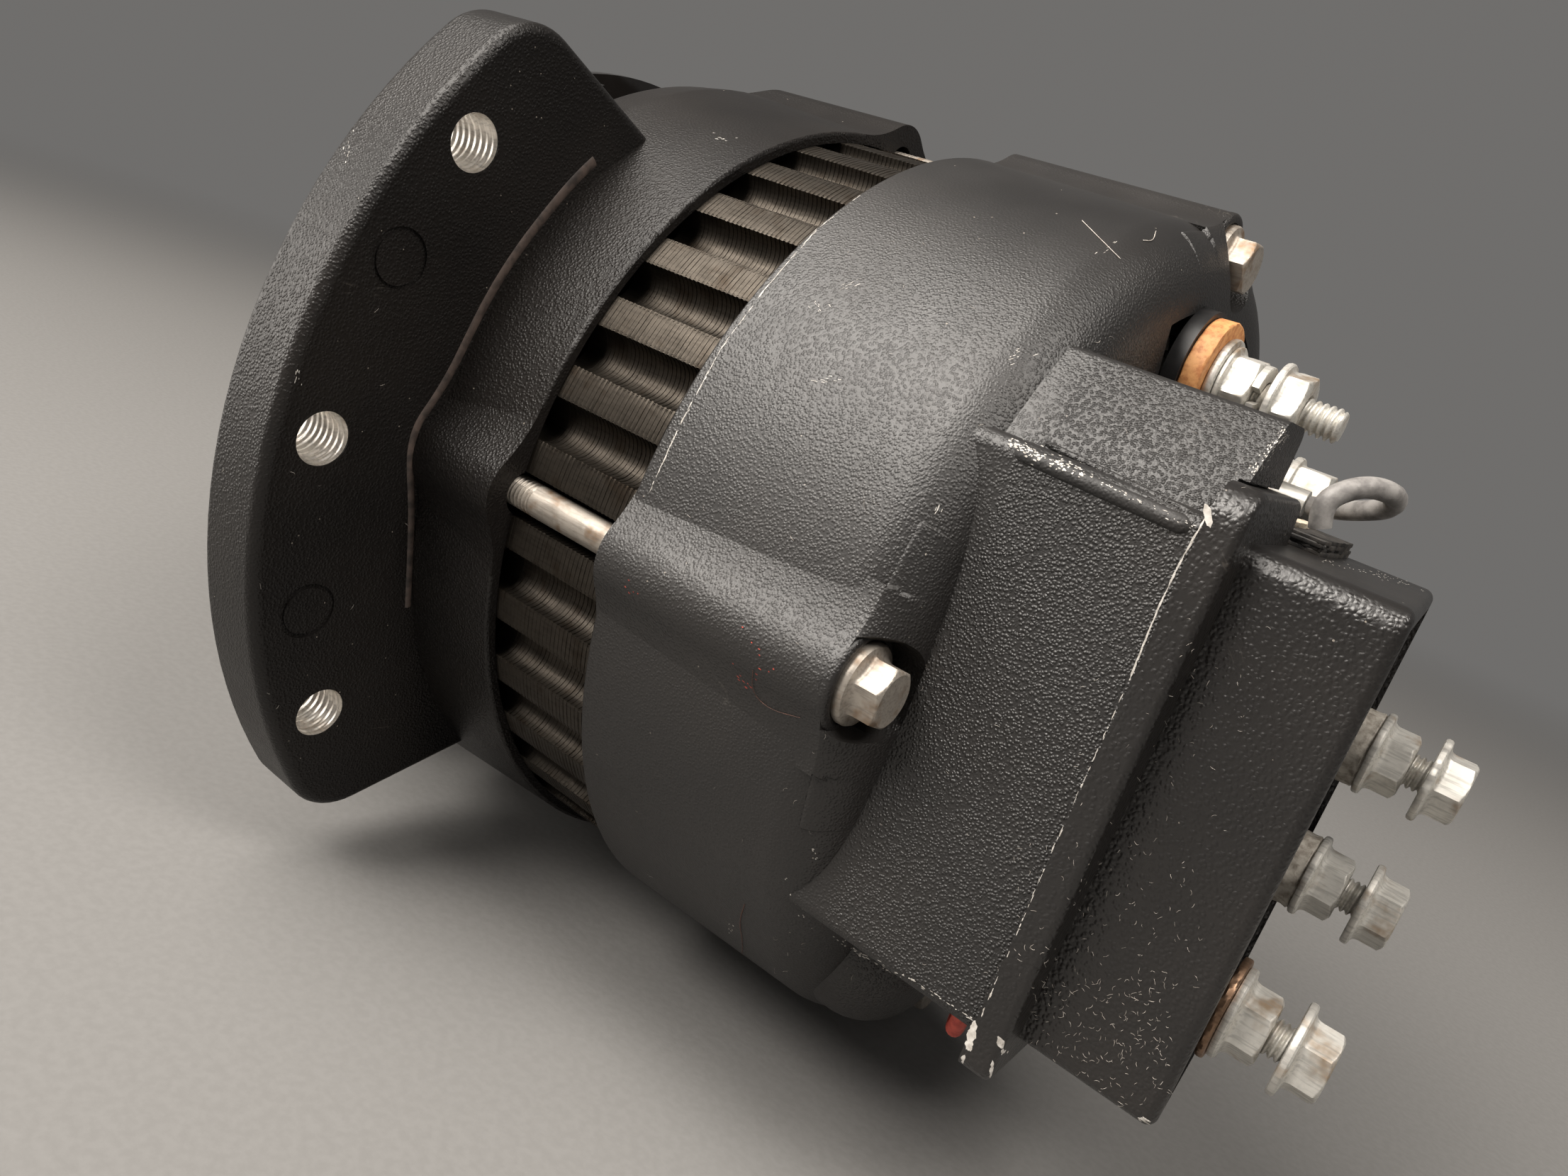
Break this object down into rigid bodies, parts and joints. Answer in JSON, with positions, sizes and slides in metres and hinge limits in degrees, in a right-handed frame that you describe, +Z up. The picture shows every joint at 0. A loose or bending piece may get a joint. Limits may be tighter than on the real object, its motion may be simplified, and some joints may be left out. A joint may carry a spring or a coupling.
{
  "type": "alternator",
  "caption": "Claw-pole alternator with a flange mount, open ribbed stator, black housings, a boxed regulator with studs and an output stud",
  "frame": {"origin": "centre of the circle of the three flange holes, on the rotor axis in the plane of the flange's rear face", "axes": "+X along the rotor axis to the regulator end, +Y away from the mounting flange, +Z up along the regulator's long side"},
  "size_m": [0.2145, 0.1672, 0.1444],
  "materials": {
    "black_coat": "powder coat with a fine orange-peel grain, satin",
    "lamination": "stacked sheet edges, dull",
    "copper": "varnished winding wire",
    "zinc": "bright zinc plate",
    "steel": "machined steel",
    "regulator_black": "smooth satin coat",
    "potting": "cast resin",
    "rubber": "matt",
    "cork": "dry fibrous strip",
    "fibre": "vulcanised fibre",
    "insulator": "moulded phenolic",
    "grey_sleeve": "soft cable sheath",
    "red_sleeve": "soft cable sheath",
    "carbon": "pressed carbon",
    "fan_black": "gloss paint"
  },
  "bodies": {
    "housing": {"bearing_retainer": "steel", "brush_holder": "insulator", "brush_spring_inner": "steel", "brush_spring_outer": "steel", "drive_end_housing": "black_coat", "field_insulator": "insulator", "field_lead": "grey_sleeve", "field_lug": "zinc", "field_nut": "zinc", "field_stud": "zinc", "front_bearing_balls": "steel", "front_bearing_outer_race": "steel", "negative_heat_sink": "steel", "output_collar": "insulator", "output_fibre_washer": "fibre", "output_inner_nut": "zinc", "output_lock_washer": "zinc", "output_outer_nut": "zinc", "output_stud": "zinc", "output_washer": "zinc", "positive_heat_sink": "steel", "rear_bearing_balls": "steel", "rear_bearing_outer_race": "steel", "rear_housing": "black_coat", "rectifier_diodes": "steel", "red_lead": "red_sleeve", "regulator_case": "regulator_black", "regulator_copper_washer": "copper", "regulator_cork_pad": "cork", "regulator_inner_nuts": "zinc", "regulator_outer_nuts": "zinc", "regulator_potting": "potting", "regulator_rubber_pad": "rubber", "regulator_screws": "zinc", "regulator_spacers": "zinc", "regulator_studs": "zinc", "retainer_screws": "zinc", "stator_core": "lamination", "stator_winding": "copper", "through_bolts": "zinc"},
    "rotor": {"rotor_shaft": "steel", "front_claw_pole": "steel", "rear_claw_pole": "steel", "field_bobbin": "insulator", "field_coil": "copper", "slip_rings": "copper", "slip_ring_sleeve": "insulator", "front_bearing_inner_race": "steel", "rear_bearing_inner_race": "steel", "fan": "fan_black", "fan_spacer": "steel", "pulley": "steel", "shaft_key": "steel", "shaft_washer": "zinc", "shaft_nut": "zinc"},
    "inner_brush": {"brush_inner": "carbon"},
    "outer_brush": {"brush_outer": "carbon"}
  },
  "joints": [
    {"name": "rotor_spin", "type": "hinge", "parent": "housing", "child": "rotor", "pos_m": [0, 0, 0], "axis": [1, 0, 0], "continuous": true},
    {"name": "inner_brush_slide", "type": "slide", "parent": "housing", "child": "inner_brush", "axis": [0, 1, 0], "range_m": [-0.003, 0], "deforming": ["brush_spring_inner"]},
    {"name": "outer_brush_slide", "type": "slide", "parent": "housing", "child": "outer_brush", "axis": [0, 1, 0], "range_m": [-0.003, 0], "deforming": ["brush_spring_outer"]}
  ]
}
